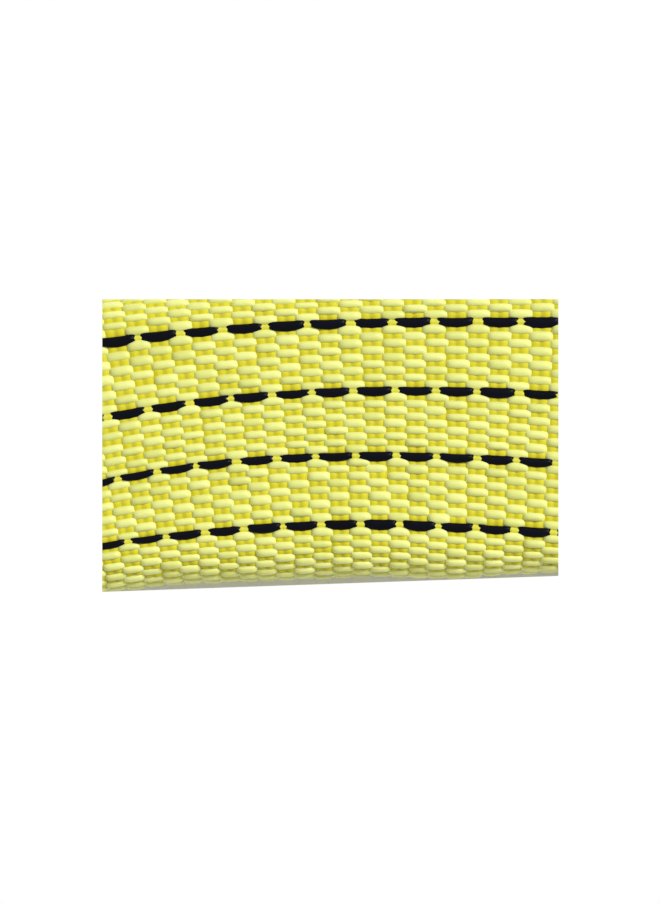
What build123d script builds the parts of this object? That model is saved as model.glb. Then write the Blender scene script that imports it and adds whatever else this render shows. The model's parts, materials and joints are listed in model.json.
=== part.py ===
from build123d import *
import os
from math import asin, cos, degrees, pi, radians, sin

# A round sling lying open on the floor: an endless hank of load yarn in a woven tubular
# sleeve. Its plan is an oval of four arcs about the origin, and its section is a flat
# tube with round edges. Section faces are drawn with X outwards across the sleeve and
# Y up, and are then carried along the arcs. Millimetres and degrees.

# The loop in plan
CIRCUMFERENCE = 2000.0          # along the sleeve's middle line: twice the working length
END_RADIUS = 220.0              # middle line of the left and right ends
SIDE_HALF_ANGLE = 68.6          # each long side turns through twice this
FOLD_X = 150.0                  # the two fold lines stand this far from the middle
FOLD_GAP = 0.3                  # between the cut faces at a fold line

# The sleeve
SLEEVE_WIDTH = 52.0
SLEEVE_HEIGHT = 14.0
WALL = 1.8
LAYER_CLEARANCE = 0.2           # between cloth layers that lie on each other

# The marker yarns woven into both faces
MARKERS_PER_FACE = 4
MARKER_PITCH = 11.3             # ten warp ends
MARKER_WIDTH = 1.6
MARKER_DEPTH = 0.6
MARKER_SINK = 0.05              # below the cloth's surface
MARKER_CLEARANCE = 0.1

# The overlap on the near side, where the hemmed end covers the tucked end
OVERLAP_HALF = 45.0             # the overlap reaches this far each way from the middle
TUCKED_GATHER = 2.6             # the tucked end is gathered this much flatter than the sleeve
RAMP_CLEAR = 5.0                # from the overlap's end to the start of a taper
RAMP_LENGTH = 25.0              # taper from the seam's section to the sleeve's

# The closing seam
ROW_INSETS = (6.0, 12.0, 18.0)  # stitch rows in from the hem's edge
BACK_ROW_INSETS = (7.0, 13.0)   # stitch rows in from the tucked end
ROW_GROOVE_WIDTH = 1.0
ROW_GROOVE_DEPTH = 0.6
STITCH_WIDTH = 0.8
STITCH_HEIGHT = 0.45
STITCH_GAP = 0.8                # between two stitches of a row
STITCHES_PER_MARKER = 4         # stitch pitches in one marker pitch

# The core
TURNS_PER_LAYER = 8
TURN_GAP = 0.2                  # between neighbouring turns
TURN_CORNER = 1.0               # chamfer on a turn's edges
TIE_THICKNESS = 0.35
TIE_WIDTH = 12.0
TIE_CLEARANCE = 0.1             # a tie to the sleeve, and to the turns inside it
SIDE_TIE_OFFSET = 110.0         # ties on the long sides, each way from the middle
BIGHT_TIE_OFFSET = 250.0        # outer ties of each bight, along a long side

# The label
LABEL_LENGTH = 60.0
LABEL_SIDE_MARGIN = 1.0         # from the label's sides to the ends of the sleeve's flat
LABEL_THICKNESS = 1.0
LEAD_LENGTH = 20.0
LEAD_THICKNESS = 0.8
COVER_INSET = 3.0
COVER_THICKNESS = 0.4
LABEL_LIFT = 0.3                # the label above the sleeve
HINGE_AHEAD = 1.0               # the label's fold line from the hem's edge
HINGE_ABOVE = 0.4               # and above the hem's top
LABEL_START = 1.2               # the tag's edge from the fold line
LEAD_END = 1.2                  # the lead's edge behind the fold line
LABEL_STITCH_INSET = 1.5
LABEL_STITCH_PITCH = 3.0
LABEL_STITCH = (2.0, 0.5, 0.4)  # length, width, height

# Worked out from the above
ALPHA = radians(SIDE_HALF_ANGLE)
SIDE_RADIUS = (CIRCUMFERENCE / 4 - (pi / 2 - ALPHA) * END_RADIUS) / ALPHA
SIDE_SHIFT = (SIDE_RADIUS - END_RADIUS) * cos(ALPHA)
END_SHIFT = (SIDE_RADIUS - END_RADIUS) * sin(ALPHA)
END_HALF_ANGLE = 90 - SIDE_HALF_ANGLE
FAR_ARC = ((0, -SIDE_SHIFT), SIDE_RADIUS)
NEAR_ARC = ((0, SIDE_SHIFT), SIDE_RADIUS)
RIGHT_ARC = ((END_SHIFT, 0), END_RADIUS)
LEFT_ARC = ((-END_SHIFT, 0), END_RADIUS)
FLAT = SLEEVE_WIDTH - SLEEVE_HEIGHT           # flat width of every nested section
TUCKED_HEIGHT = SLEEVE_HEIGHT - TUCKED_GATHER
LABEL_WIDTH = FLAT - 2 * LABEL_SIDE_MARGIN
SIDE_END = radians(SIDE_HALF_ANGLE) * SIDE_RADIUS   # where a long side meets an end
SIDE_REACH = min(SIDE_END, SIDE_RADIUS * asin((FOLD_X + SLEEVE_WIDTH) / SIDE_RADIUS))
SIDE_START = SIDE_RADIUS * asin((FOLD_X - SLEEVE_WIDTH) / SIDE_RADIUS)
RAMP_INNER = OVERLAP_HALF + RAMP_CLEAR
RAMP_OUTER = RAMP_INNER + RAMP_LENGTH
HEM_CAVITY = TUCKED_HEIGHT + LEAD_THICKNESS + 3 * LAYER_CLEARANCE
HEM_HEIGHT = HEM_CAVITY + 2 * WALL
TUCKED_BASE = WALL + LAYER_CLEARANCE
LEAD_BASE = TUCKED_BASE + TUCKED_HEIGHT + LAYER_CLEARANCE
MARKER_PLACES = [(k - (MARKERS_PER_FACE - 1) / 2) * MARKER_PITCH for k in range(MARKERS_PER_FACE)]
LABEL_BASE = SLEEVE_HEIGHT + LABEL_LIFT
HINGE_HEIGHT = HEM_HEIGHT + HINGE_ABOVE
BEYOND = 4 * CIRCUMFERENCE                    # larger than the whole sling

# A nested section: its height and the height of its underside
MAIN = (SLEEVE_HEIGHT, 0.0)
HEM = (HEM_HEIGHT, 0.0)
TUCKED = (TUCKED_HEIGHT, TUCKED_BASE)


def inset(section, amount):
    """The section drawn in by amount all round."""
    height, base = section
    return (height - 2 * amount, base + amount)


def slot(section):
    """The flat tube's outline, filled."""
    height, base = section
    return Pos(0, base + height / 2) * SlotOverall(FLAT + height, height)


def on_outline(section, place):
    """The point and tilt at a distance along the upper outline from its middle."""
    height, base = section
    radius = height / 2
    past = max(0.0, abs(place) - FLAT / 2)
    turn = past / radius
    across = min(abs(place), FLAT / 2) + radius * sin(turn)
    side = 1 if place >= 0 else -1
    return side * across, base + radius + radius * cos(turn), -side * degrees(turn)


def strips(section, width, depth, sink):
    """Marker strips just under both faces of a section, as small rectangles."""
    height, base = section
    middle = base + height / 2
    faces = []
    for place in MARKER_PLACES:
        across, up, tilt = on_outline(section, place)
        strip = Pos(0, -sink - depth / 2) * Rectangle(width, depth)
        upper = Pos(across, up) * Rot(0, 0, tilt) * strip
        faces.append(upper)
        faces.append(Pos(0, middle) * mirror(Pos(0, -middle) * upper, about=Plane.XZ))
    return faces


def markers(section):
    """The marker yarns' own sections."""
    return strips(section, MARKER_WIDTH, MARKER_DEPTH, MARKER_SINK)


def marker_grooves(section):
    """The grooves that hold them, open at the cloth's surface."""
    width = MARKER_WIDTH + 2 * MARKER_CLEARANCE
    deep = MARKER_SINK + MARKER_DEPTH + MARKER_CLEARANCE
    return strips(section, width, 2 * deep, -deep)


def chamfered(width, height, corner):
    """A rectangle with its corners cut off."""
    x, y = width / 2, height / 2
    points = [(x, y - corner), (x - corner, y), (corner - x, y), (-x, y - corner)]
    return Polygon(*points, *[(-a, -b) for a, b in points])


def layer_turns(section, upper):
    """The turns of one layer of the hank inside a sleeve section."""
    height, base = inset(section, WALL + 2 * TIE_CLEARANCE + TIE_THICKNESS)
    pitch = (FLAT + 2 * TURN_CORNER + TURN_GAP) / TURNS_PER_LAYER
    tall = (height - TURN_GAP) / 2
    up = base + height - tall / 2 if upper else base + tall / 2
    across = [(k - (TURNS_PER_LAYER - 1) / 2) * pitch for k in range(TURNS_PER_LAYER)]
    turn = chamfered(pitch - TURN_GAP, tall, TURN_CORNER)
    return [Pos(x, up) * turn for x in across]


def edge_turns(section):
    """The round turn at each edge of the hank."""
    height, base = inset(section, WALL + 2 * TIE_CLEARANCE + TIE_THICKNESS)
    radius = (height / 2 - TURN_CORNER - TURN_GAP) / 2
    across = FLAT / 2 + height / 2 - radius
    return [Pos(side * across, base + height / 2) * Circle(radius) for side in (-1, 1)]


def on_plane(arc, angle):
    """The section plane at a plan angle of an arc: X outwards, Y up."""
    (x, y), radius = arc
    out = Vector(cos(radians(angle)), sin(radians(angle)), 0)
    start = Vector(x, y, 0) + out * radius
    return Plane(origin=start, x_dir=out, z_dir=out.cross(Vector(0, 0, 1)))


def carried(face, arc, start, end):
    """A section face carried along an arc between two plan angles."""
    (x, y), radius = arc
    body = revolve(Plane.XZ * Pos(radius, 0) * face, Axis.Z, end - start)
    return Pos(x, y) * Rot(0, 0, start) * body


def tapered(face, other, arc, start, end):
    """One section face drawn into another along a short length of an arc."""
    return loft([on_plane(arc, start) * face, on_plane(arc, end) * other], ruled=True)


def near_angle(along):
    """The plan angle at a distance along the near side from its middle."""
    return 270 + degrees(along / SIDE_RADIUS)


def slab(start, end):
    """All of space between two values of X."""
    return Pos((start + end) / 2, 0, 0) * Box(end - start, BEYOND, BEYOND)


MIDDLE_SLAB = slab(-FOLD_X + FOLD_GAP / 2, FOLD_X - FOLD_GAP / 2)
RIGHT_SLAB = slab(FOLD_X + FOLD_GAP / 2, BEYOND)
LEFT_SLAB = slab(-BEYOND, -FOLD_X - FOLD_GAP / 2)


def far_run(face):
    """The far stretch between the fold lines."""
    half = degrees(SIDE_REACH / SIDE_RADIUS)
    return carried(face, FAR_ARC, 90 - half, 90 + half) & MIDDLE_SLAB


def bight_run(face, right):
    """The stretch past a fold line, round the end and back."""
    past = 90 - degrees(SIDE_START / SIDE_RADIUS)
    end = END_HALF_ANGLE
    if right:
        pieces = [carried(face, FAR_ARC, end, past), carried(face, RIGHT_ARC, -end, end)]
        pieces.append(carried(face, NEAR_ARC, -past, -end))
        return (pieces[0] + pieces[1] + pieces[2]) & RIGHT_SLAB
    pieces = [carried(face, FAR_ARC, 180 - past, 180 - end)]
    pieces.append(carried(face, LEFT_ARC, 180 - end, 180 + end))
    pieces.append(carried(face, NEAR_ARC, 180 + end, 180 + past))
    return (pieces[0] + pieces[1] + pieces[2]) & LEFT_SLAB


def near_run(main, seam, start, end):
    """A near-side stretch: main section outside the seam, seam section inside it."""
    spans = [(-SIDE_REACH, -RAMP_OUTER, main, main), (-RAMP_OUTER, -RAMP_INNER, main, seam)]
    spans.append((-RAMP_INNER, RAMP_INNER, seam, seam))
    spans.append((RAMP_INNER, RAMP_OUTER, seam, main))
    spans.append((RAMP_OUTER, SIDE_REACH, main, main))
    body = None
    for low, high, first, last in spans:
        low, high = max(low, start), min(high, end)
        if low >= high:
            continue
        angles = near_angle(low), near_angle(high)
        if first is last:
            piece = carried(first, NEAR_ARC, *angles)
        else:
            piece = tapered(first, last, NEAR_ARC, *angles)
        body = piece if body is None else body + piece
    return body & MIDDLE_SLAB


def core_near_run(main, seam):
    """A turn of the hank along the near side, pressed flatter inside the tucked end."""
    first, last = near_angle(-OVERLAP_HALF - RAMP_CLEAR / 2), near_angle(RAMP_OUTER)
    body = carried(main, NEAR_ARC, near_angle(-SIDE_REACH), first)
    body += carried(seam, NEAR_ARC, first, last)
    body += carried(main, NEAR_ARC, last, near_angle(SIDE_REACH))
    return body & MIDDLE_SLAB


def group(parts):
    """Separate solids kept together as one piece list."""
    return Compound(children=[solid for part in parts for solid in part.solids()])


def sleeve_section():
    """The cloth tube's section with its marker grooves, for the plain stretches."""
    section = slot(MAIN) - slot(inset(MAIN, WALL))
    for groove in marker_grooves(MAIN):
        section -= groove
    return section


def seam_grooves():
    """Grooves across both faces of the hem for the rows of stitching."""
    cuts = []
    for along in row_places():
        for up in (0.0, HEM_HEIGHT):
            bar = Box(FLAT, ROW_GROOVE_WIDTH, 2 * ROW_GROOVE_DEPTH)
            cuts.append(across_at(along) * Pos(0, 0, up) * bar)
    return cuts


def row_places():
    """Distances of the stitch rows along the near side."""
    front = [OVERLAP_HALF - inset_by for inset_by in ROW_INSETS]
    back = [inset_by - OVERLAP_HALF for inset_by in BACK_ROW_INSETS]
    return front + back


def across_at(along):
    """A frame on the near side's middle line: X outwards across, Y along, Z up."""
    (x, y), radius = NEAR_ARC
    return Pos(x, y) * Rot(0, 0, near_angle(along)) * Pos(radius, 0, 0)


def tube(main_outer, seam_outer, start, end):
    """A near-side stretch of the sleeve with its hollow and marker grooves."""
    body = near_run(slot(main_outer), slot(seam_outer), start, end)
    hollow = near_run(slot(inset(main_outer, WALL)), slot(inset(seam_outer, WALL)), start, end)
    body -= hollow
    for main, seam in zip(marker_grooves(main_outer), marker_grooves(seam_outer)):
        body -= near_run(main, seam, start, end)
    return body


def sleeve_parts():
    """The cloth tube in its five stretches."""
    section = sleeve_section()
    hem = tube(MAIN, HEM, -SIDE_REACH, OVERLAP_HALF)
    for cut in seam_grooves():
        hem -= cut
    return {
        "sleeve_far_middle": far_run(section),
        "sleeve_hem_stretch": hem,
        "sleeve_tucked_stretch": tube(MAIN, TUCKED, -OVERLAP_HALF, SIDE_REACH),
        "sleeve_left_bight": bight_run(section, right=False),
        "sleeve_right_bight": bight_run(section, right=True),
    }


def marker_parts():
    """The marker yarns of each stretch of the sleeve."""
    main = markers(MAIN)
    hem = [near_run(a, b, -SIDE_REACH, OVERLAP_HALF) for a, b in zip(main, markers(HEM))]
    tucked = [near_run(a, b, -OVERLAP_HALF, SIDE_REACH) for a, b in zip(main, markers(TUCKED))]
    return {
        "marker_yarns_far_middle": group(far_run(face) for face in main),
        "marker_yarns_hem_stretch": group(hem),
        "marker_yarns_tucked_stretch": group(tucked),
        "marker_yarns_left_bight": group(bight_run(face, right=False) for face in main),
        "marker_yarns_right_bight": group(bight_run(face, right=True) for face in main),
    }


def core_parts():
    """The hank's upper, lower and edge turns, each in four stretches."""
    turns = {"upper": lambda section: layer_turns(section, upper=True)}
    turns["lower"] = lambda section: layer_turns(section, upper=False)
    turns["edge"] = edge_turns
    parts = {}
    for layer, drawn in turns.items():
        main, seam = drawn(MAIN), drawn(TUCKED)
        near = [core_near_run(a, b) for a, b in zip(main, seam)]
        parts[f"core_{layer}_turns_far"] = group(far_run(face) for face in main)
        parts[f"core_{layer}_turns_near"] = group(near)
        parts[f"core_{layer}_turns_left"] = group(bight_run(face, right=False) for face in main)
        parts[f"core_{layer}_turns_right"] = group(bight_run(face, right=True) for face in main)
    return parts


def tie(arc, angle):
    """A tape band round the hank at a plan angle of an arc."""
    outside = inset(MAIN, WALL + TIE_CLEARANCE)
    ring = slot(outside) - slot(inset(outside, TIE_THICKNESS))
    half = degrees(TIE_WIDTH / 2 / arc[1])
    return carried(ring, arc, angle - half, angle + half)


def tie_parts():
    """The bands that keep the hank together."""
    side = degrees(SIDE_TIE_OFFSET / SIDE_RADIUS)
    outer = degrees(BIGHT_TIE_OFFSET / SIDE_RADIUS)
    right = [tie(FAR_ARC, 90 - outer), tie(RIGHT_ARC, 0), tie(NEAR_ARC, 270 + outer)]
    left = [tie(FAR_ARC, 90 + outer), tie(LEFT_ARC, 180), tie(NEAR_ARC, 270 - outer)]
    return {
        "core_ties_far": group([tie(FAR_ARC, 90 - side), tie(FAR_ARC, 90 + side)]),
        "core_ties_near": group([tie(NEAR_ARC, 270 - side), tie(NEAR_ARC, 270 + side)]),
        "core_ties_left": group(left),
        "core_ties_right": group(right),
    }


def seam_parts():
    """Rows of stitches across the hem, on both faces, between the marker yarns."""
    pitch = MARKER_PITCH / STITCHES_PER_MARKER
    reach = int((FLAT / 2 - pitch / 2) / pitch)
    stitch = Box(pitch - STITCH_GAP, STITCH_WIDTH, STITCH_HEIGHT)
    upper, lower = [], []
    for along in row_places():
        for k in range(-reach, reach + 1):
            if any(abs(k * pitch - place) < pitch / 2 for place in MARKER_PLACES):
                continue
            sunk = ROW_GROOVE_DEPTH - STITCH_HEIGHT / 2
            here = across_at(along) * Pos(k * pitch, 0, 0)
            upper.append(here * Pos(0, 0, HEM_HEIGHT - sunk) * stitch)
            lower.append(here * Pos(0, 0, sunk) * stitch)
    return {"seam_stitches_upper": group(upper), "seam_stitches_lower": group(lower)}


def label_place():
    """A frame on the label's fold line: X along the label, Z up from the floor."""
    (x, y), radius = NEAR_ARC
    angle = near_angle(OVERLAP_HALF + HINGE_AHEAD)
    return Pos(x, y) * Rot(0, 0, angle) * Pos(radius, 0, 0) * Rot(0, 0, 90)


def plate(start, length, width, base, thickness):
    """A flat rectangle of cloth or film along the label."""
    return Pos(start + length / 2, 0, base + thickness / 2) * Box(length, width, thickness)


def label_stitch_line(start, length, width, base):
    """Short stitches round a rectangle."""
    long, wide, tall = LABEL_STITCH
    stitches = []
    for span, other, turn in ((length, width, 0), (width, length, 90)):
        count = int((span - long) / LABEL_STITCH_PITCH)
        for k in range(count + 1):
            at = (k - count / 2) * LABEL_STITCH_PITCH
            for side in (-1, 1):
                spot = Pos(start + length / 2, 0, base + tall / 2) * Rot(0, 0, turn)
                if turn and abs(at) > span / 2 - long:
                    continue
                stitches.append(spot * Pos(at, side * other / 2, 0) * Box(long, wide, tall))
    return stitches


def label_parts():
    """The blank identification label, its lead under the hem and its clear cover."""
    place = label_place()
    cover_start = LABEL_START + COVER_INSET
    cover_size = (LABEL_LENGTH - 2 * COVER_INSET, LABEL_WIDTH - 2 * COVER_INSET)
    cover_base = LABEL_BASE + LABEL_THICKNESS
    lead_start = -LEAD_END - LEAD_LENGTH
    line = [size - 2 * LABEL_STITCH_INSET for size in cover_size]
    stitches = label_stitch_line(cover_start + LABEL_STITCH_INSET, *line, cover_base + COVER_THICKNESS)
    tag = plate(LABEL_START, LABEL_LENGTH, LABEL_WIDTH, LABEL_BASE, LABEL_THICKNESS)
    cover = plate(cover_start, *cover_size, cover_base, COVER_THICKNESS)
    lead = plate(lead_start, LEAD_LENGTH, LABEL_WIDTH, LEAD_BASE, LEAD_THICKNESS)
    return {
        "label_lead": place * lead,
        "label_tag": place * tag,
        "label_cover": place * cover,
        "label_stitches": group(place * stitch for stitch in stitches),
    }


def main():
    os.makedirs("parts", exist_ok=True)
    parts = {}
    for made in (sleeve_parts, marker_parts, core_parts, tie_parts, seam_parts, label_parts):
        parts.update(made())
    for node, part in parts.items():
        export_step(part, f"parts/{node}.step")
    hinge = label_place().position
    print("side radius", round(SIDE_RADIUS, 2), "shifts", round(SIDE_SHIFT, 2), round(END_SHIFT, 2))
    print("label fold line", round(hinge.X, 2), round(hinge.Y, 2), round(HINGE_HEIGHT, 2))
    print("label direction", round(near_angle(OVERLAP_HALF + HINGE_AHEAD) - 270, 3))


main()
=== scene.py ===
"""A round sling lying open on a pale floor: a woven sleeve, thread by thread, over a hank of yarn.

Metres, in the frame's own axes. Along the sleeve, s runs from the middle of the near side
(-Y) towards +X and right round the loop. Round the sleeve, f is the share of its outline
from the middle of its upper face, positive outwards. h is the height above the cloth.
"""
import json
import math

import bpy
import numpy as np
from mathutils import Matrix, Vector


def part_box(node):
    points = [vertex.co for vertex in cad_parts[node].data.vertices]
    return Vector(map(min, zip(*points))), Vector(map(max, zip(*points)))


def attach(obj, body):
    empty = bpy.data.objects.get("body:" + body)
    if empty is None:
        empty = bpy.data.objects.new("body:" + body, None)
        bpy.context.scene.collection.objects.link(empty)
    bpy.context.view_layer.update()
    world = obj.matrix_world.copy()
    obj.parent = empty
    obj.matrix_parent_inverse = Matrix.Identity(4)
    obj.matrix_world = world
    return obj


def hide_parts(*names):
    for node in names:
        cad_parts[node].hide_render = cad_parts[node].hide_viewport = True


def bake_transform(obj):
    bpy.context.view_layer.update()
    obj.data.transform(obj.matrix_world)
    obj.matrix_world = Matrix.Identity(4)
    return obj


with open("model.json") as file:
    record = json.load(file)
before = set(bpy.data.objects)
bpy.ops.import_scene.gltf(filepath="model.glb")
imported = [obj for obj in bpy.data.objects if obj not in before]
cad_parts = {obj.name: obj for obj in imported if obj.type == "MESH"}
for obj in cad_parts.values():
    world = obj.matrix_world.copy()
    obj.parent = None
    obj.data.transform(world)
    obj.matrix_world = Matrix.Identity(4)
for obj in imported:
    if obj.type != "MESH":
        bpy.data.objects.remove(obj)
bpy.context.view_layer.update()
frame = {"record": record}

MM = 0.001

# The loop and the sleeve, from the frame
SLEEVE_WIDTH = 0.052
END_RADIUS = 0.220
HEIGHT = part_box("sleeve_far_middle")[1].z
HEM_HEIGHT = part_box("sleeve_hem_stretch")[1].z
HALF_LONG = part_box("sleeve_right_bight")[1].x - SLEEVE_WIDTH / 2
HALF_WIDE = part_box("sleeve_far_middle")[1].y - SLEEVE_WIDTH / 2
FLAT = SLEEVE_WIDTH - HEIGHT
JOINTS = {joint["name"]: joint for joint in frame["record"]["behaviour"]["joints"]}

# The oval's arcs, from its two half sizes and the end radius
ALPHA = 2 * math.atan((HALF_WIDE - END_RADIUS) / (HALF_LONG - END_RADIUS))
SIDE_RADIUS = END_RADIUS + (HALF_LONG - END_RADIUS) / math.sin(ALPHA)
SIDE_SHIFT = (SIDE_RADIUS - END_RADIUS) * math.cos(ALPHA)
END_SHIFT = HALF_LONG - END_RADIUS
SIDE_ARC = ALPHA * SIDE_RADIUS
END_ARC = (math.pi - 2 * ALPHA) * END_RADIUS
LOOP = 4 * SIDE_ARC + 2 * END_ARC
FAR = LOOP / 2

# The overlap on the near side
OVERLAP = 45 * MM
RAMP_INNER = 50 * MM
RAMP_OUTER = 75 * MM
TUCKED_HEIGHT = 11.4 * MM
TUCKED_BASE = 2.0 * MM
HEM_EDGE = LOOP + OVERLAP
FOLD_RADIUS = 0.8 * MM           # of the hem's turned edge
HEM_TURN = 6 * MM                # cloth turned back inside the hem
CREASE = 2 * MM                  # the cloth is pressed thin this close to the turned edge
CREASE_PRESS = 0.5               # and by this share
ROWS = [HEM_EDGE - inset for inset in (6 * MM, 12 * MM, 18 * MM)]
ROWS += [LOOP - OVERLAP + inset for inset in (7 * MM, 13 * MM)]
ROW_PULL = 0.30 * MM             # how far a row of stitches draws the cloth in
ROW_REACH = 1.2 * MM             # and how far from the row

# The sleeve's crown, which starts clear of the overlap
CROWN = 0.6 * MM
CROWN_START = 120 * MM
CROWN_RAMP = 50 * MM

# How the far side lies in the photograph. x counts lengths along it from its middle, and
# v counts widths across it.
LIE_LENGTH = 50 * MM             # one unit of x
LIE_REACH = 3.4                  # beyond this x the cloth lies on the plain arc
LIE_FADE = 2                     # and it goes over to it within this much of x
LIE_LEFT, LIE_RIGHT = -1.0, 0.55  # beyond these x its drift grows no further
LIE_EASE = 0.3
LIE_WIDTH = 17 * MM              # one unit of v: the outermost marker rows
LIE_SIDE = 1.1                   # beyond this v its drift grows no further
WEFT_SHEAR = 0.027               # the columns' lean

# The weave
ENDS = 106                       # warp ends round the sleeve
MARKER_ENDS = [38, 48, 58, 68, 5, 15, 91, 101]    # four in the upper face, four in the lower
UPPER_ENDS = 31                  # ends each way from the top's middle that are seen from above
COLUMNS = 580                    # weft columns round the loop
COLUMN = LOOP / COLUMNS
PHASE = -2.72 * MM
SPARE = 40                       # columns past each end of the sleeve in the random tables
JITTER_LIMIT = 2                 # in standard deviations

FINE_START = FAR - 54 * MM       # the finely meshed stretch of the far side
FINE_END = FAR + 74 * MM


def smooth(value):
    value = np.clip(value, 0, 1)
    return value * value * (3 - 2 * value)


def path(s):
    """Point on the middle line and outward direction, for arrays of s."""
    s = np.mod(s, LOOP)
    beta = math.pi / 2 - ALPHA
    knots = np.cumsum([0, SIDE_ARC, END_ARC, 2 * SIDE_ARC, END_ARC, SIDE_ARC])
    angles = [-math.pi / 2, -beta, beta, math.pi - beta, math.pi + beta, 1.5 * math.pi]
    angle = np.interp(s, knots, angles)
    which = np.searchsorted(knots, s, side="right") - 1
    which = np.clip(which, 0, 4)
    radius = np.array([SIDE_RADIUS, END_RADIUS, SIDE_RADIUS, END_RADIUS, SIDE_RADIUS])[which]
    centre_x = np.array([0, END_SHIFT, 0, -END_SHIFT, 0])[which]
    centre_y = np.array([SIDE_SHIFT, 0, -SIDE_SHIFT, 0, SIDE_SHIFT])[which]
    out = np.stack([np.cos(angle), np.sin(angle)], -1)
    return np.stack([centre_x, centre_y], -1) + radius[..., None] * out, out


def section(s):
    """Height and base of the sleeve's section: gathered when tucked, larger in the hem."""
    tucked = smooth((RAMP_OUTER - s) / (RAMP_OUTER - RAMP_INNER))
    hem = smooth((s - LOOP + RAMP_OUTER) / (RAMP_OUTER - RAMP_INNER))
    height = HEIGHT + tucked * (TUCKED_HEIGHT - HEIGHT) + hem * (HEM_HEIGHT - HEIGHT)
    return height, tucked * TUCKED_BASE


def girth(s):
    height, _ = section(s)
    return 2 * FLAT + math.pi * height


def far_side(s):
    """x along the far side, positive to the right, and how far the photographed lie holds."""
    x = (FAR - s) / LIE_LENGTH
    return x, smooth((LIE_REACH - np.abs(x)) / LIE_FADE)


def drawn_in(s):
    """How much narrower the far side lies on its inner edge, towards its two ends."""
    x, near = far_side(s)
    right, left = smooth((x - 0.1) * 2), smooth(-(x + 0.45) * 2)
    return near * (2.1 * right + 0.95 * left - 0.2) * MM


def outline(s, f):
    """Across and up on the section's outline, with the outward direction there."""
    height, base = section(s)
    radius = height / 2
    f = np.mod(f + 0.5, 1) - 0.5
    side = np.sign(f)
    p = np.abs(f) * girth(s)
    narrower = drawn_in(s) * (side < 0)
    half_flat = FLAT / 2 - narrower
    turn = np.clip((p - half_flat) / radius, 0, math.pi)
    below = np.maximum(p - half_flat - math.pi * radius, 0)
    below = below * half_flat / (FLAT / 2 + narrower)
    across = np.minimum(p, half_flat) + radius * np.sin(turn) - below
    up = base + radius + radius * np.cos(turn)
    from_overlap = np.minimum(np.abs(s), np.abs(LOOP - s))
    plump = smooth((from_overlap - CROWN_START) / CROWN_RAMP)
    crown = CROWN * plump * (1 - np.clip(across / (FLAT / 2 + radius), 0, 1) ** 2)
    up = up + crown * smooth(np.cos(turn))
    return side * across, up, side * np.sin(turn), np.cos(turn)


def eased(value, low, high, room):
    """The value held between two limits with rounded ends."""
    over, under = np.maximum(value - high, 0), np.maximum(low - value, 0)
    held = np.clip(value, low, high)
    return held + room * (1 - np.exp(-over / room)) - room * (1 - np.exp(-under / room))


def sway(s, across):
    """How far the cloth lies off the plain arc on the far side, and its weft's lean.

    In millimetres. The numbers in bow and spread, and WEFT_SHEAR, come from a fit to the
    marker rows in the photograph. The others were set by comparing renders with it.
    """
    x, near = far_side(s)
    x = eased(x, LIE_LEFT, LIE_RIGHT, LIE_EASE)
    v = np.clip(across / LIE_WIDTH, -LIE_SIDE, LIE_SIDE)
    bow = 1.16 * x ** 3 - 0.33 * x - 0.23 * x ** 2
    spread = v * (0.22 + 1.11 * x + 0.56 * x ** 2) + 1.6 * v ** 2 * x ** 2
    inner_left = 0.8 * smooth(-(v + 0.4) / 0.6) * smooth(-x / 0.8)
    uneven = 0.23 * np.sin(math.pi * v)
    return near * (bow + spread - inner_left - uneven) * MM, near * WEFT_SHEAR * across


def cloth(s, f, h):
    """Points at a height h over the cloth; past the hem's edge the cloth turns inside."""
    past = np.maximum(s - HEM_EDGE, 0)
    turn = np.minimum(past / FOLD_RADIUS, math.pi)
    back = np.maximum(past - math.pi * FOLD_RADIUS, 0)
    h = h * (1 - CREASE_PRESS * smooth((s - HEM_EDGE + CREASE) / CREASE))
    for row in ROWS:
        h = h - ROW_PULL * np.exp(-((s - row) / ROW_REACH) ** 2)
    s = np.minimum(s, HEM_EDGE) + (FOLD_RADIUS + h) * np.sin(turn) - back
    h = h * np.cos(turn) - FOLD_RADIUS * (1 - np.cos(turn))
    across, up, out_across, out_up = outline(s, f)
    off, lean = sway(s, across)
    middle, out = path(s + lean)
    across = across + off * (0.5 + 0.5 * np.abs(out_up)) + h * out_across
    flat = middle + out * across[..., None]
    return np.concatenate([flat, (up + h * out_up)[..., None]], -1)


def inside(s, across, up):
    """Points in the sleeve's section, by place across and height from the floor."""
    middle, out = path(s)
    flat = middle + out * across[..., None]
    return np.concatenate([flat, up[..., None]], -1)


def grid_faces(rows, columns, sheets=1, closed=False):
    """Quads of grids of points, rows by columns; a closed grid's columns run right round."""
    i, j = np.arange(rows - 1), np.arange(columns if closed else columns - 1)
    a = i[:, None] * columns + j[None, :]
    b = i[:, None] * columns + (j[None, :] + 1) % columns
    one = np.stack([a, b, b + columns, a + columns], -1).reshape(-1, 4)
    shift = np.arange(sheets)[:, None, None] * rows * columns
    return (one[None] + shift).reshape(-1, 4)


def ring(count):
    """Angles right round a thread."""
    return np.linspace(0, 2 * math.pi, count, endpoint=False)


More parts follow.
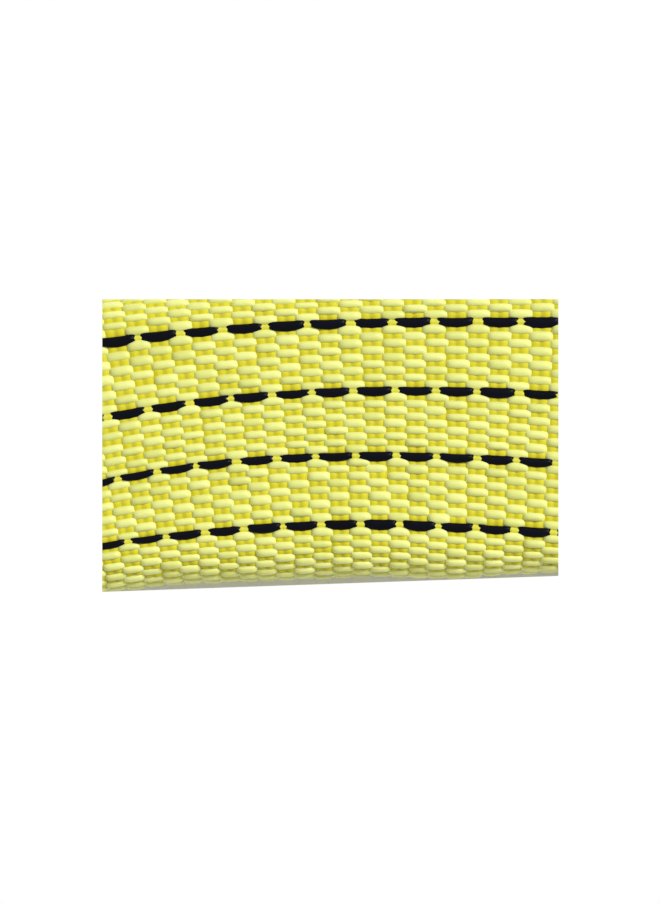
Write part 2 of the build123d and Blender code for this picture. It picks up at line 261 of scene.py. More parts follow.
def piece(name, points, quads, material, uv=None, tone_and_painted_shade=None):
    """A mesh object made from arrays."""
    mesh = bpy.data.meshes.new(name)
    points = np.ascontiguousarray(points.reshape(-1, 3), np.float32)
    quads = np.ascontiguousarray(quads, np.int32)
    starts = np.arange(0, quads.size, quads.shape[1], dtype=np.int32)
    mesh.vertices.add(len(points))
    mesh.vertices.foreach_set("co", points.ravel())
    mesh.loops.add(quads.size)
    mesh.loops.foreach_set("vertex_index", quads.ravel())
    mesh.polygons.add(len(quads))
    mesh.polygons.foreach_set("loop_start", starts)
    mesh.update(calc_edges=True)
    mesh.polygons.foreach_set("use_smooth", np.ones(len(quads), bool))
    if uv is not None:
        layer = mesh.uv_layers.new(name="Weave")
        corners = uv.reshape(-1, 2)[quads.ravel()].astype(np.float32)
        layer.data.foreach_set("uv", corners.ravel())
    if tone_and_painted_shade is not None:
        attribute = mesh.attributes.new("tone_and_painted_shade", "FLOAT", "POINT")
        attribute.data.foreach_set("value", tone_and_painted_shade.astype(np.float32).ravel())
    mesh.materials.append(material)
    thing = bpy.data.objects.new(name, mesh)
    bpy.context.scene.collection.objects.link(thing)
    return thing


# ---------------------------------------------------------------- materials

STREAK = 0.45                    # how much of a yarn's tone its streaks make
STREAK_STRETCH = 0.6             # noise per millimetre along a yarn
LIT_CREST_TONE = 1.2                 # tones above this show a yarn's paler crest colour, painted light where the weft rises
FIBRE_RELIEF = 0.06 * MM


def new_material(name):
    material = bpy.data.materials.new(name)
    material.use_nodes = True
    nodes = material.node_tree.nodes
    return material, nodes, material.node_tree.links, nodes["Principled BSDF"]


def colour_mix(nodes):
    mix = nodes.new("ShaderNodeMix")
    mix.data_type = "RGBA"
    return mix


def yarn(name, light, deep, roughness=0.5, sheen=0.15, specular=0.4, fibres=7.0, lit_crest=None):
    """Bundled filament yarn: fine streaks along the thread, and a tone per float that is partly
    random and partly painted shade and light, read from the mesh.
    """
    material, nodes, links, shader = new_material(name)
    uv = nodes.new("ShaderNodeUVMap")
    uv.uv_map = "Weave"
    mapping = nodes.new("ShaderNodeMapping")
    mapping.inputs["Scale"].default_value = (STREAK_STRETCH, fibres, 1)
    noise = nodes.new("ShaderNodeTexNoise")
    noise.inputs["Scale"].default_value = 1.0
    noise.inputs["Detail"].default_value = 3.0
    tone_and_painted_shade = nodes.new("ShaderNodeAttribute")
    tone_and_painted_shade.attribute_name = "tone_and_painted_shade"
    streak = nodes.new("ShaderNodeMath")
    streak.operation = "MULTIPLY_ADD"
    streak.inputs[1].default_value = STREAK
    mix = colour_mix(nodes)
    mix.inputs["A"].default_value = (*deep, 1)
    mix.inputs["B"].default_value = (*light, 1)
    relief = nodes.new("ShaderNodeBump")
    relief.inputs["Strength"].default_value = 0.35
    relief.inputs["Distance"].default_value = FIBRE_RELIEF
    links.new(uv.outputs["UV"], mapping.inputs["Vector"])
    links.new(mapping.outputs["Vector"], noise.inputs["Vector"])
    links.new(noise.outputs["Fac"], streak.inputs[0])
    links.new(tone_and_painted_shade.outputs["Fac"], streak.inputs[2])
    links.new(streak.outputs["Value"], mix.inputs["Factor"])
    colour = mix.outputs["Result"]
    # Painted light: tones over the crest tone turn to the paler crest colour.
    if lit_crest:
        above = nodes.new("ShaderNodeMath")
        above.operation = "SUBTRACT"
        above.use_clamp = True
        above.inputs[1].default_value = LIT_CREST_TONE
        crest_painted_light = colour_mix(nodes)
        crest_painted_light.inputs["B"].default_value = (*lit_crest, 1)
        links.new(streak.outputs["Value"], above.inputs[0])
        links.new(above.outputs["Value"], crest_painted_light.inputs["Factor"])
        links.new(colour, crest_painted_light.inputs["A"])
        colour = crest_painted_light.outputs["Result"]
    links.new(colour, shader.inputs["Base Color"])
    links.new(noise.outputs["Fac"], relief.inputs["Height"])
    links.new(relief.outputs["Normal"], shader.inputs["Normal"])
    shader.inputs["Roughness"].default_value = roughness
    shader.inputs["Specular IOR Level"].default_value = specular
    shader.inputs["Sheen Weight"].default_value = sheen
    shader.inputs["Sheen Roughness"].default_value = 0.4
    return material


WARP = yarn("sleeve_warp", (0.76, 0.785, 0.25), (0.55, 0.58, 0.11), sheen=0.5)
# The weft's colours are partly its own and partly painted shade: darker and more golden than its
# paler crest colour, for the shade in the gaps between the floats.
WEFT = yarn("sleeve_weft", (0.70, 0.635, 0.022), (0.42, 0.37, 0.008), sheen=0.1, specular=0.2,
            lit_crest=(0.72, 0.74, 0.13))
MARKER = yarn("marker_yarn", (0.0016, 0.0016, 0.006), (0.0004, 0.0004, 0.0006),
              roughness=0.34, sheen=0.0, specular=0.06)
CORE = yarn("core_yarn", (0.80, 0.78, 0.68), (0.55, 0.53, 0.45), fibres=3.0)
THREAD = yarn("sewing_thread", (0.86, 0.82, 0.22), (0.55, 0.5, 0.1), fibres=12.0)


# ---------------------------------------------------------------- the weave

rng = np.random.default_rng(11)


def jitter_table():
    """A random number for each end and column."""
    table = rng.normal(size=(ENDS, COLUMNS + 2 * SPARE))
    return np.clip(table, -JITTER_LIMIT, JITTER_LIMIT)


LIFT_JITTER = jitter_table()
WIDTH_JITTER = jitter_table()
SLIDE_JITTER = jitter_table()
TONE_JITTER = jitter_table()


class Thread:
    """The shape of one kind of warp end."""

    def __init__(self, half_up, wide, narrow, belly, deep, top, blunt, round_off, square):
        self.half_up = half_up       # half of a float, in columns
        self.wide = wide             # half width on top
        self.narrow = narrow         # half width below the weft
        self.belly = belly           # sideways bow of a float
        self.deep = deep             # how far it dives
        self.top = top               # a float's height over the cloth
        self.blunt = blunt           # how square a float's ends are in plan
        self.round_off = round_off   # and how round
        self.square = square         # how square they are from the side


YELLOW = Thread(0.62, 0.78 * MM, 0.36 * MM, 0.0, 1.15 * MM, -0.22 * MM, 3.2, 0.5, 3.2)
BLACK = Thread(0.94, 0.80 * MM, 0.42 * MM, 0.44 * MM, 1.00 * MM, -0.10 * MM, 2.0, 0.75, 6.0)
FLOAT_CURVE = 0.55               # the lower, the steeper a float's ends rise
UNDER_SINK = 0.25 * MM           # a thread's extra dive between its floats
THREAD_THIN, THREAD_THICK = 0.12 * MM, 0.52 * MM   # at a float's ends, and added at its middle
FLOAT_TONE, UNDER_SHADE = 0.62, 0.5                 # a float's tone, and how much darker a thread is painted below the weft, as painted shade
UV_PER_END = 3.7                 # sets the ends' streaks apart

# How much floats differ: one standard deviation of height, width, place along and tone
LIFT_SPREAD = 0.09 * MM
WIDTH_SPREAD = 0.06
SLIDE_SPREAD = 0.045 * COLUMN
TONE_SPREAD = 0.16
WANDER = 0.05 * MM               # an end's slow drift to either side


def warp_strips(ends, start, end, kind, fine):
    """Floats of some warp ends whose middles lie from start to end: points, uv, tone, faces."""
    steps = np.linspace(-1, 1, 12) if fine else np.array([-1, -0.86, -0.5, 0, 0.5, 0.86, 1])
    steps = np.sign(steps) * np.abs(steps) ** 0.8 if fine else steps
    theta = np.radians(np.linspace(-90, 90, 7 if fine else 4))
    points, uvs, tones_and_painted_shade, faces, total = [], [], [], [], 0
    for parity in (0, 1):
        some = np.array([e for e in ends if e % 2 == parity])
        first = math.ceil(((start - PHASE) / COLUMN - parity) / 2)
        last = math.ceil(((end - PHASE) / COLUMN - parity) / 2)
        if not len(some) or last <= first:
            continue
        floats = 2 * np.arange(first, last) + parity
        # Each float's steps and one point below the weft; the strip starts with one more
        offsets = np.concatenate([steps * kind.half_up, [1.0]])
        t = (floats[:, None] + offsets[None, :]).ravel()
        step = np.tile(np.concatenate([steps, [1.0]]), len(floats))
        under = np.tile(np.concatenate([steps * 0, [1.0]]), len(floats))
        which = np.repeat(floats, len(offsets))
        t = np.concatenate([[floats[0] - 1.0], t])
        step, under = np.concatenate([[1.0], step]), np.concatenate([[1.0], under])
        which = np.concatenate([[floats[0]], which]) + SPARE
        along = (1 - np.abs(step) ** kind.square) ** FLOAT_CURVE
        swell = (1 - np.abs(step) ** kind.blunt) ** kind.round_off
        top = kind.top + LIFT_SPREAD * LIFT_JITTER[some][:, which]
        lift = along * (kind.deep + top) - kind.deep - UNDER_SINK * under
        half = kind.narrow + swell * (kind.wide - kind.narrow)
        half = half * (1 + WIDTH_SPREAD * WIDTH_JITTER[some][:, which])
        slide = SLIDE_SPREAD * SLIDE_JITTER[some][:, which] * (1 - under)
        s = t[None, :] * COLUMN + PHASE + slide
        bow = kind.belly * (step ** 2 - 0.4) * (1 - under)
        wander = WANDER * np.sin(t[None, :] * 0.21 + some[:, None] * 1.7)
        thick = THREAD_THICK * swell + THREAD_THIN
        side = half[..., None] * np.sin(theta) + (bow + wander)[..., None]
        drop = np.broadcast_to(thick[:, None] * (1 - np.cos(theta)), (len(t), len(theta)))
        s3 = np.broadcast_to(s[..., None], side.shape)
        f3 = (some[:, None, None] - ENDS / 2) / ENDS + side / girth(s3)
        points.append(cloth(s3, f3, lift[..., None] - drop[None]).reshape(-1, 3))
        v3 = some[:, None, None] * UV_PER_END + side / MM
        uvs.append(np.stack([s3 / MM, v3], -1).reshape(-1, 2))
        # Painted shade: a thread's colour darkens where it dives below the weft.
        tone_and_painted_shade = FLOAT_TONE + TONE_SPREAD * TONE_JITTER[some][:, which] - UNDER_SHADE * under
        tones_and_painted_shade.append(np.broadcast_to(tone_and_painted_shade[..., None], side.shape).ravel())
        faces.append(grid_faces(len(t), len(theta), len(some)) + total)
        total += side.size
    return tuple(np.concatenate(parts) for parts in (points, uvs, tones_and_painted_shade, faces))


WEFT_LEVEL = -0.90 * MM
WEFT_WAVE = 0.26 * MM            # up and down between neighbouring ends
PICK_RISE = 0.16 * MM            # the round of each of a column's two picks
CREST_RISE = 0.50 * MM           # where the weft passes over a marker end
CREST_HALF = 0.4                 # half of that crest, in columns


def weft_sheet(start, end, fine):
    """The weft between the floats: two picks a column, high where an end dives under them."""
    per_column, per_end = (10, 2) if fine else (4, 1)
    low = round((start - PHASE) / COLUMN * per_column)
    high = round((end - PHASE) / COLUMN * per_column)
    t = np.arange(low, high + 1) / per_column
    e = np.arange(ENDS * per_end) / per_end
    column = np.round(t)
    from_middle = t - column
    up_here = np.cos(math.pi * (e[None, :] - column[:, None]))
    cover = np.cos(math.pi * from_middle)[:, None] ** 0.5
    picks = np.abs(np.cos(2 * math.pi * (from_middle - 0.25)))[:, None]
    h = WEFT_LEVEL - WEFT_WAVE * up_here * cover + PICK_RISE * picks
    nearest = np.round(e).astype(int) % ENDS
    marker = np.isin(nearest, MARKER_ENDS)[None, :] * (np.abs(e - np.round(e)) < 0.1)[None, :]
    lit_crest = marker * (up_here < 0) * smooth(1 - np.abs(from_middle[:, None]) / CREST_HALF)
    h = h + CREST_RISE * lit_crest
    s = np.broadcast_to((t * COLUMN + PHASE)[:, None], h.shape)
    f = np.broadcast_to(((e - ENDS / 2) / ENDS)[None, :], h.shape)
    # Painted shade and light: the weft darkens low between its picks, pales on their rounds, and
    # takes the paler crest colour where it crests over a marker end.
    tone_and_painted_shade = 0.10 + 0.55 * picks + 1.6 * lit_crest
    uv = np.stack([np.broadcast_to(e[None, :] * 1.1, h.shape), s / MM * 2], -1)
    return cloth(s, f, h), uv, tone_and_painted_shade, grid_faces(len(t), len(e), closed=True)


RIGHT = ("middle", "right_bight", 1)
LEFT = ("middle", "left_bight", -1)
MARGIN = 100 * MM                # the bights' stretches start this far from the sides' middles
CHUNKS = 5                       # pieces in each bight's stretch


def carry(thing, where):
    """Ride on the middle; a piece in one of the bights stays where it lies, on no body."""
    if where == "middle":
        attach(thing, "middle")
        return
    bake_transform(thing)


def stretches():
    """Name, start, end, how carried, the CAD stretch it stands for, and fineness."""
    rows = [("tucked", -OVERLAP, MARGIN, "middle", "tucked_stretch", False)]
    step = (FAR - 2 * MARGIN) / CHUNKS
    for k in range(CHUNKS):
        start = MARGIN + k * step
        rows.append((f"right_{k + 1}", start, start + step, RIGHT, "right_bight", False))
    rows.append(("far_right", FAR - MARGIN, FINE_START, "middle", "far_middle", False))
    rows.append(("far_centre", FINE_START, FINE_END, "middle", "far_middle", True))
    rows.append(("far_left", FINE_END, FAR + MARGIN, "middle", "far_middle", False))
    for k in range(CHUNKS):
        start = FAR + MARGIN + k * step
        rows.append((f"left_{k + 1}", start, start + step, LEFT, "left_bight", False))
    turned = HEM_EDGE + math.pi * FOLD_RADIUS + HEM_TURN
    rows.append(("hem", LOOP - MARGIN, turned, "middle", "hem_stretch", False))
    return rows


def weave():
    """Every stretch of the sleeve: yellow ends, marker ends and weft."""
    plain = [e for e in range(ENDS) if e not in MARKER_ENDS]
    upper = [e for e in plain if abs(e - ENDS / 2) < UPPER_ENDS]
    lower = [e for e in plain if abs(e - ENDS / 2) >= UPPER_ENDS]
    for name, start, end, where, cad, fine in stretches():
        groups = [("warp", plain, YELLOW, WARP, fine)]
        if fine:
            groups = [("warp", upper, YELLOW, WARP, True),
                      ("warp_under", lower, YELLOW, WARP, False)]
        groups.append(("marker", MARKER_ENDS, BLACK, MARKER, fine))
        for kind, ends, thread, material, detail in groups:
            points, uv, tone_and_painted_shade, faces = warp_strips(ends, start, end, thread, detail)
            thing = piece(f"{kind}_{name}", points, faces, material, uv, tone_and_painted_shade)
            carry(thing, where)
            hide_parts(f"marker_yarns_{cad}" if kind == "marker" else f"sleeve_{cad}")
        points, uv, tone_and_painted_shade, faces = weft_sheet(start, end, fine)
        sheet = piece(f"weft_{name}", points, faces, WEFT, uv, tone_and_painted_shade)
        carry(sheet, where)
        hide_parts(f"sleeve_{cad}")


weave()


# ---------------------------------------------------------------- the core inside

WALL = 1.8 * MM
TIE_CLEARANCE = 0.1 * MM
TIE_THICKNESS = 0.35 * MM
TIE_WIDTH = 12 * MM
SIDE_TIE = 110 * MM              # ties this far from the sides' middles
BIGHT_TIE = 250 * MM             # and each bight's outer ties
TURNS_PER_LAYER = 8
TURN_GAP = 0.2 * MM
TURN_CORNER = 1.0 * MM
TURN_SQUARE = 0.6                # 1 would make a turn's section an ellipse, 0 a rectangle
CORE_STEP = 5 * MM
CORE_INSET = WALL + 2 * TIE_CLEARANCE + TIE_THICKNESS


def hank_section(s):
    """Height and base of the hank: flatter along the tucked end; s may be negative there."""
    before = smooth((s + RAMP_OUTER) / (RAMP_OUTER - RAMP_INNER))
    after = smooth((RAMP_OUTER - s) / (RAMP_OUTER - RAMP_INNER))
    tucked = before * after
    height = HEIGHT + tucked * (TUCKED_HEIGHT - HEIGHT)
    return height - 2 * CORE_INSET, tucked * TUCKED_BASE + CORE_INSET


def squared(wave):
    return np.sign(wave) * np.abs(wave) ** TURN_SQUARE


def core_turns(layer, start, end):
    """The upper, lower or edge turns of the hank along one stretch: rounded yarn bundles."""
    s = np.linspace(start, end, max(8, round((end - start) / CORE_STEP)))
    theta = ring(12)
    height, base = hank_section(s)
    if layer == "edge":
        radius = (height / 2 - TURN_CORNER - TURN_GAP) / 2
        reach = FLAT / 2 + height / 2 - radius
        places = np.stack([-reach, reach])
        half_wide = half_tall = radius
        up = base + height / 2
    else:
        pitch = (FLAT + 2 * TURN_CORNER + TURN_GAP) / TURNS_PER_LAYER
        middle = (TURNS_PER_LAYER - 1) / 2
        places = np.stack([(k - middle) * pitch + 0 * s for k in range(TURNS_PER_LAYER)])
        half_wide, half_tall = (pitch - TURN_GAP) / 2 + 0 * s, (height - TURN_GAP) / 4
        up = base + height - half_tall if layer == "upper" else base + half_tall
    x = places[..., None] + half_wide[None, :, None] * squared(np.cos(theta))
    z = (up[:, None] + half_tall[:, None] * squared(np.sin(theta)))[None]
    z = np.broadcast_to(z, x.shape)
    s3 = np.broadcast_to(s[None, :, None], x.shape)
    uv = np.stack([s3 / MM, np.broadcast_to(theta * 2, x.shape)], -1)
    faces = grid_faces(len(s), len(theta), len(places), closed=True)
    return inside(s3, x, z), uv, 0.5 + 0 * x, faces


def tie_band(s0):
    """A tape band round the hank: s, f and faces."""
    s = s0 + np.linspace(-TIE_WIDTH / 2, TIE_WIDTH / 2, 4)
    f = np.linspace(0, 1, 72, endpoint=False)
    shape = (len(s), len(f))
    faces = grid_faces(*shape, closed=True)
    return np.broadcast_to(s[:, None], shape), np.broadcast_to(f, shape), faces


def hank():
    """The hank's turns and ties, whole round the loop."""
    spans = {"near": (-MARGIN, MARGIN, "middle"), "right": (MARGIN, FAR - MARGIN, RIGHT)}
    spans["far"] = (FAR - MARGIN, FAR + MARGIN, "middle")
    spans["left"] = (FAR + MARGIN, LOOP - MARGIN, LEFT)
    for layer in ("upper", "lower", "edge"):
        for name, (start, end, where) in spans.items():
            points, uv, tone_and_painted_shade, faces = core_turns(layer, start, end)
            turns = piece(f"hank_{layer}_{name}", points, faces, CORE, uv, tone_and_painted_shade)
            carry(turns, where)
            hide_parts(f"core_{layer}_turns_{name}")
    ties = [("far", FAR - SIDE_TIE, "middle"), ("far", FAR + SIDE_TIE, "middle")]
    ties += [("near", SIDE_TIE, "middle"), ("near", LOOP - SIDE_TIE, "middle")]
    ties += [("right", s, RIGHT) for s in (BIGHT_TIE, LOOP / 4, FAR - BIGHT_TIE)]
    ties += [("left", s, LEFT) for s in (FAR + BIGHT_TIE, LOOP * 3 / 4, LOOP - BIGHT_TIE)]
    depth = WALL + TIE_CLEARANCE + TIE_THICKNESS / 2
    for number, (name, s0, where) in enumerate(ties):
        s, f, faces = tie_band(s0)
        across, up, out_across, out_up = outline(s, f)
        points = inside(s, across - depth * out_across, up - depth * out_up)
        uv = np.stack([s / MM, f * 150], -1)
        band = piece(f"tie_{number + 1}", points, faces, TAPE, uv, 0.5 + 0 * s)
        carry(band, where)
        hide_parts(f"core_ties_{name}")


TAPE = yarn("tie_tape", (0.82, 0.82, 0.80), (0.62, 0.62, 0.60), fibres=9.0)
hank()


# ---------------------------------------------------------------- the closing seam

STITCH_PITCH = 2.825 * MM
STITCH_GAP = 0.7 * MM
STITCH_RADIUS = 0.30 * MM
STITCH_TOP = 0.28 * MM           # over the cloth
STITCH_DIVE = 0.85 * MM          # a stitch's ends below its middle
STITCH_SLANT = 0.15 * MM


def stitches(rows, faces_up):
    """Lockstitches in rows round the hem, on its upper or its lower half."""
    round_hem = girth(np.array(LOOP))
    count = round(round_hem / STITCH_PITCH)
    f = (np.arange(count) + 0.5) / count - 0.5
    f = f[np.abs(f) < 0.25] if faces_up else f[np.abs(f) >= 0.25]
    v = np.linspace(-1, 1, 7)
    theta = ring(6)
    row, place = np.meshgrid(rows, f, indexing="ij")
    row, place = row.ravel()[:, None, None], place.ravel()[:, None, None]
    jitter = np.random.default_rng(5).normal(size=row.shape)
    length = (STITCH_PITCH - STITCH_GAP) * (1 + 0.05 * jitter)
    dive = np.abs(v) ** 3
    r = STITCH_RADIUS * (1 - 0.35 * dive)[None, :, None]
    h = (STITCH_TOP - STITCH_DIVE * dive)[None, :, None] + r * np.sin(theta)
    s = row + 0.12 * MM * jitter + STITCH_SLANT * v[None, :, None] + r * np.cos(theta)
    along = place + v[None, :, None] * length / 2 / round_hem + 0 * s
    uv = np.stack([along * 150, np.broadcast_to(theta, s.shape)], -1)
    faces = grid_faces(len(v), len(theta), len(row), closed=True)
    return cloth(s, along, h + 0 * s), uv, 0.6 + 0.1 * jitter + 0 * s, faces


def seam():
    for name, upper in (("upper", True), ("lower", False)):
        points, uv, tone_and_painted_shade, faces = stitches(ROWS, upper)
        thing = piece(f"seam_{name}", points, faces, THREAD, uv, tone_and_painted_shade)
        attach(thing, "middle")
        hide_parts(f"seam_stitches_{name}")


seam()


# ---------------------------------------------------------------- the label

LABEL_WIDTH = FLAT - 2 * MM
LEAD_FROM = -21.2 * MM           # along the label, from its fold line
LABEL_START = 1.2 * MM           # the tag's start, past the fold line
LABEL_END = 61.2 * MM
COVER_INSET = 3 * MM
LABEL_THICK = 0.8 * MM
LEAD_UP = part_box("label_lead")[0].z + 0.4 * MM
TAG_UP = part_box("label_tag")[0].z + 0.65 * MM
TAG_RISE = 3.5 * MM              # the label climbs from the lead to the tag over this length
WAVE = 0.12 * MM                 # the tag isn't quite flat
WAVE_START = 4 * MM
WAVE_LENGTH = 9 * MM
WAVE_RAMP = 10 * MM
PANEL_THICK = 0.12 * MM
PANEL_INSET = 5 * MM             # inside the cover's ends
PANEL_MARGIN = 8 * MM            # inside the label's sides
FILM_THICK = 0.24 * MM
FILM_UP = 0.22 * MM              # over the panel's middle
SEWING_INSET = 1.5 * MM
SEWING_UP = 0.34 * MM
FLIP = JOINTS["label_flip"]


def on_label(x, y, z):
    """Points in the label's frame: x along it from the fold line, y across, z from the floor."""
    axis = FLIP["axis"]
    along, over = np.array([-axis[1], axis[0]]), np.array([-axis[0], -axis[1]])
    flat = np.array(FLIP["pos_m"][:2]) + x[..., None] * along + y[..., None] * over
    return np.concatenate([flat, z[..., None]], -1)


def cloth_slab(x, width, middle, thick, corner):
    """A closed strip of cloth along the label, with rounded sides and ends."""
    n = 29
    edge = np.linspace(-1, 1, n)
    shape = np.concatenate([edge, edge[::-1]])
    side = np.concatenate([np.ones(n), -np.ones(n)])
    puff = np.sqrt(np.clip(1 - np.abs(shape) ** 24, 0, 1))
    ends = np.clip(np.minimum(x - x[0], x[-1] - x) / corner, 0, 1)
    close = np.sqrt(np.clip(1 - (1 - ends) ** 2, 0.02, 1))
    inset = corner * (1 - close)
    y = (width / 2 - inset)[:, None] * shape[None, :]
    z = middle[:, None] + thick / 2 * close[:, None] * side * puff
    x2 = np.broadcast_to(x[:, None], y.shape)
    body = grid_faces(len(x), 2 * n, closed=True)
    a = np.arange(n - 1)
    cap = np.stack([a, 2 * n - 1 - a, 2 * n - 2 - a, a + 1], -1)
    faces = np.concatenate([body, cap, cap[:, ::-1] + (len(x) - 1) * 2 * n])
    uv = np.stack([x2 / MM, y / MM], -1)
    return on_label(x2, y, z), uv, 0.5 + 0 * z, faces


def dashes_round(start, length, width, base, pitch, long, radius):
    """Small stitches round a rectangle on the label."""
    v = np.linspace(-1, 1, 5)
    theta = ring(6)
    spots = []
    for span, other, turned in ((length, width, False), (width, length, True)):
        count = int(span / pitch)
        for k in range(count):
            at = (k - (count - 1) / 2) * pitch
            for side in (-1, 1):
                spots.append((at, side * other / 2, turned))
    points, uvs = [], []
    for at, off, turned in spots:
        r = radius * (1 - 0.3 * v ** 4)[:, None]
        along = at + v[:, None] * long / 2 + 0 * theta
        over = off + r * np.cos(theta)
        z = base + radius * (0.4 - 1.6 * np.abs(v[:, None]) ** 3) + r * np.sin(theta)
        x, y = (over, along) if turned else (along, over)
        points.append(on_label(x + start + length / 2, y, z))
        uvs.append(np.stack([along / MM * 2, 0 * along + theta], -1))
    faces = grid_faces(len(v), len(theta), len(spots), closed=True)
    return np.stack(points), np.stack(uvs), np.full((len(spots), len(v), len(theta)), 0.6), faces


def label():
    ends = np.linspace(0, 1, 5) ** 2 * MM
    x = np.concatenate([LEAD_FROM + ends,
                        np.linspace(LEAD_FROM + 1.5 * MM, LABEL_END - 1.5 * MM, 100),
                        LABEL_END - ends[::-1]])
    rise = smooth((x + 0.2 * MM) / TAG_RISE)
    wave = WAVE * np.sin((x - WAVE_START) / WAVE_LENGTH) * smooth((x - WAVE_START) / WAVE_RAMP)
    middle = LEAD_UP + rise * (TAG_UP - LEAD_UP) + wave
    points, uv, tone_and_painted_shade, faces = cloth_slab(x, LABEL_WIDTH, middle, LABEL_THICK, 0.8 * MM)
    tag = piece("label", points, faces, LABEL_CLOTH, uv, tone_and_painted_shade)
    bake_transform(tag)
    top = TAG_UP + LABEL_THICK / 2 + PANEL_THICK
    start, end = LABEL_START + COVER_INSET, LABEL_END - COVER_INSET
    x = np.linspace(start + PANEL_INSET, end - PANEL_INSET, 30)
    width = LABEL_WIDTH - 2 * PANEL_MARGIN
    points, uv, tone_and_painted_shade, faces = cloth_slab(x, width, top + 0 * x, PANEL_THICK, 0.3 * MM)
    panel = piece("label_panel", points, faces, PANEL, uv, tone_and_painted_shade)
    x = np.linspace(start, end, 30)
    width = LABEL_WIDTH - 2 * COVER_INSET
    points, uv, tone_and_painted_shade, faces = cloth_slab(x, width, top + FILM_UP + 0 * x, FILM_THICK, 0.2 * MM)
    cover = piece("label_film", points, faces, FILM, uv, tone_and_painted_shade)
    size = (end - start - 2 * SEWING_INSET, width - 2 * SEWING_INSET)
    points, uv, tone_and_painted_shade, faces = dashes_round(start + SEWING_INSET, *size, top + SEWING_UP,
                                           pitch=3 * MM, long=2.1 * MM, radius=0.24 * MM)
    sewing = piece("label_sewing", points, faces, THREAD, uv, tone_and_painted_shade)
    for thing in (panel, cover, sewing):
        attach(thing, "label")
    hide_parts("label_lead", "label_tag")
    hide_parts("label_cover")
    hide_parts("label_stitches")


def film(name):
    """Clear plastic, slightly rippled."""
    material, nodes, links, shader = new_material(name)
    noise = nodes.new("ShaderNodeTexNoise")
    noise.inputs["Scale"].default_value = 120.0
    relief = nodes.new("ShaderNodeBump")
    relief.inputs["Strength"].default_value = 0.15
    relief.inputs["Distance"].default_value = 0.1 * MM
    links.new(noise.outputs["Fac"], relief.inputs["Height"])
    links.new(relief.outputs["Normal"], shader.inputs["Normal"])
    shader.inputs["Base Color"].default_value = (0.9, 0.93, 0.95, 1)
    shader.inputs["Alpha"].default_value = 0.22
    shader.inputs["Roughness"].default_value = 0.12
    return material


LABEL_CLOTH = yarn("label_cloth", (0.03, 0.12, 0.42), (0.015, 0.06, 0.26),
                   fibres=2.5, sheen=0.05)
PANEL = yarn("label_panel", (0.85, 0.86, 0.87), (0.75, 0.76, 0.78), fibres=2.0, sheen=0.0)
FILM = film("label_film")
label()


# ---------------------------------------------------------------- stage, light and camera

FLOOR_HALF = 30.0
FLOOR_COLOUR = (0.97, 0.97, 0.97)
FLOOR_PATCHES = 0.985            # its darker patches, as a share of its colour
WORLD_LIGHT = 0.38
WORLD_SEEN = 1.0


def plain_material(name, colour):
    material, nodes, links, shader = new_material(name)
    noise = nodes.new("ShaderNodeTexNoise")
    noise.inputs["Scale"].default_value = 3.0
    mix = colour_mix(nodes)
    mix.inputs["A"].default_value = (*[c * FLOOR_PATCHES for c in colour], 1)
    mix.inputs["B"].default_value = (*colour, 1)
    links.new(noise.outputs["Fac"], mix.inputs["Factor"])
    links.new(mix.outputs["Result"], shader.inputs["Base Color"])
    shader.inputs["Roughness"].default_value = 0.6
    shader.inputs["Specular IOR Level"].default_value = 0.1
    return material


def stage():
    """The floor, and a world that looks white to the camera, in gloss and through film."""
    corners = FLOOR_HALF * np.array([(-1, -1, 0), (1, -1, 0), (1, 1, 0), (-1, 1, 0)])
    paint = plain_material("floor_paint", FLOOR_COLOUR)
    floor = piece("floor", corners, np.array([[0, 1, 2, 3]]), paint)
    world = bpy.data.worlds.new("studio")
    bpy.context.scene.world = world
    world.use_nodes = True
    nodes, links = world.node_tree.nodes, world.node_tree.links
    shader = nodes["Background"]
    ray = nodes.new("ShaderNodeLightPath")
    seen = ray.outputs["Is Camera Ray"]
    for other in ("Is Glossy Ray", "Is Transmission Ray"):
        either = nodes.new("ShaderNodeMath")
        either.operation = "MAXIMUM"
        links.new(seen, either.inputs[0])
        links.new(ray.outputs[other], either.inputs[1])
        seen = either.outputs["Value"]
    mix = nodes.new("ShaderNodeMix")
    mix.data_type = "FLOAT"
    mix.inputs["A"].default_value = WORLD_LIGHT
    mix.inputs["B"].default_value = WORLD_SEEN
    links.new(seen, mix.inputs["Factor"])
    links.new(mix.outputs["Result"], shader.inputs["Strength"])
    shader.inputs["Color"].default_value = (1, 1, 1, 1)


def sun(name, toward, spread, strength):
    """A broad far lamp, so that the floor is lit evenly."""
    data = bpy.data.lights.new(name, "SUN")
    data.angle = math.radians(spread)
    data.energy = strength
    thing = bpy.data.objects.new(name, data)
    bpy.context.scene.collection.objects.link(thing)
    thing.rotation_euler = Vector(toward).to_track_quat("Z", "Y").to_euler()
    thing.visible_camera = False


LENS = 135.0
SENSOR = 36.0
VIEW_HEIGHT = 153.2 * MM         # what the frame's height takes in at the sleeve's top
AIM_X = -11.9 * MM               # left of the far side's middle
AIM_IN = 4.9 * MM                # inside the far side's middle line
ELEVATION = math.radians(87)

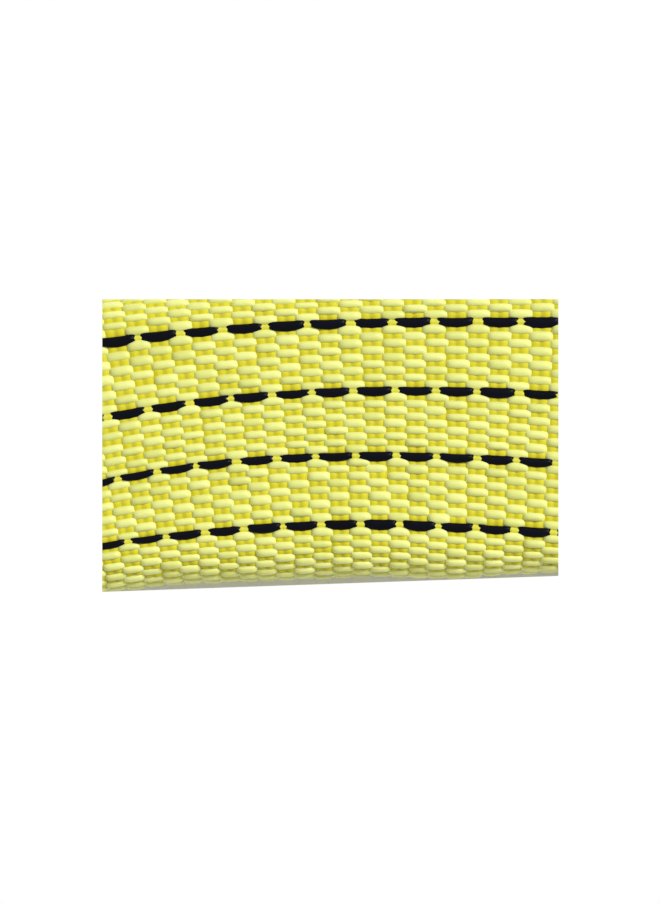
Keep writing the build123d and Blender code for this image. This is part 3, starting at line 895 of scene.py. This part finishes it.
# The photograph shows a piece of the sleeve cut out on white. A white card right in front
# of the lens has a window with those edges, as they lie on the sleeve's top.
WINDOW_X = (-50.5 * MM, 26.8 * MM)
WINDOW_IN = (-28.6 * MM, 21.0 * MM)   # from the far side's middle line
WINDOW_RISE = 2.7 * MM                # its lower edge climbs this much to the right
CARD_AHEAD = 3 * MM


def camera():
    data = bpy.data.cameras.new("camera")
    data.lens = LENS
    data.sensor_width = SENSOR
    thing = bpy.data.objects.new("camera", data)
    bpy.context.scene.collection.objects.link(thing)
    target = Vector((AIM_X, HALF_WIDE - AIM_IN, HEIGHT))
    distance = VIEW_HEIGHT * LENS / SENSOR
    offset = Vector((0, -math.cos(ELEVATION), math.sin(ELEVATION)))
    thing.location = target + distance * offset
    thing.rotation_euler = (-offset).to_track_quat("-Z", "Y").to_euler()
    data.clip_start = CARD_AHEAD / 3
    bpy.context.scene.camera = thing
    bpy.context.view_layer.update()
    return thing, distance


def card(lens, distance):
    """The card with its window, seen by the camera only."""
    scale = CARD_AHEAD / distance
    low = np.array([WINDOW_X[0] - AIM_X, WINDOW_IN[0] + AIM_IN])
    high = np.array([WINDOW_X[1] - AIM_X, WINDOW_IN[1] + AIM_IN])
    outer = np.full(2, VIEW_HEIGHT)
    rings = []
    for a, b, rise in ((low, high, WINDOW_RISE), (-outer, outer, 0)):
        corners = [(a[0], a[1]), (b[0], a[1] + rise), (b[0], b[1]), (a[0], b[1])]
        for x, y in corners:
            rings.append(lens.matrix_world @ Vector((x * scale, y * scale, -CARD_AHEAD)))
    faces = np.array([(k, (k + 1) % 4, (k + 1) % 4 + 4, k + 4) for k in range(4)])
    material = bpy.data.materials.new("card_white")
    material.use_nodes = True
    nodes = material.node_tree.nodes
    nodes.clear()
    glow = nodes.new("ShaderNodeEmission")
    out = nodes.new("ShaderNodeOutputMaterial")
    material.node_tree.links.new(glow.outputs["Emission"], out.inputs["Surface"])
    thing = piece("card", np.array(rings), faces, material)
    for ray in ("diffuse", "glossy", "transmission", "shadow", "volume_scatter"):
        setattr(thing, f"visible_{ray}", False)


stage()
sun("key", (1.4, 0.95, 1.5), 26, 3.25)
sun("fill", (-1.2, -0.9, 1.6), 60, 0.25)
card(*camera())
bpy.context.scene.view_settings.view_transform = "Standard"
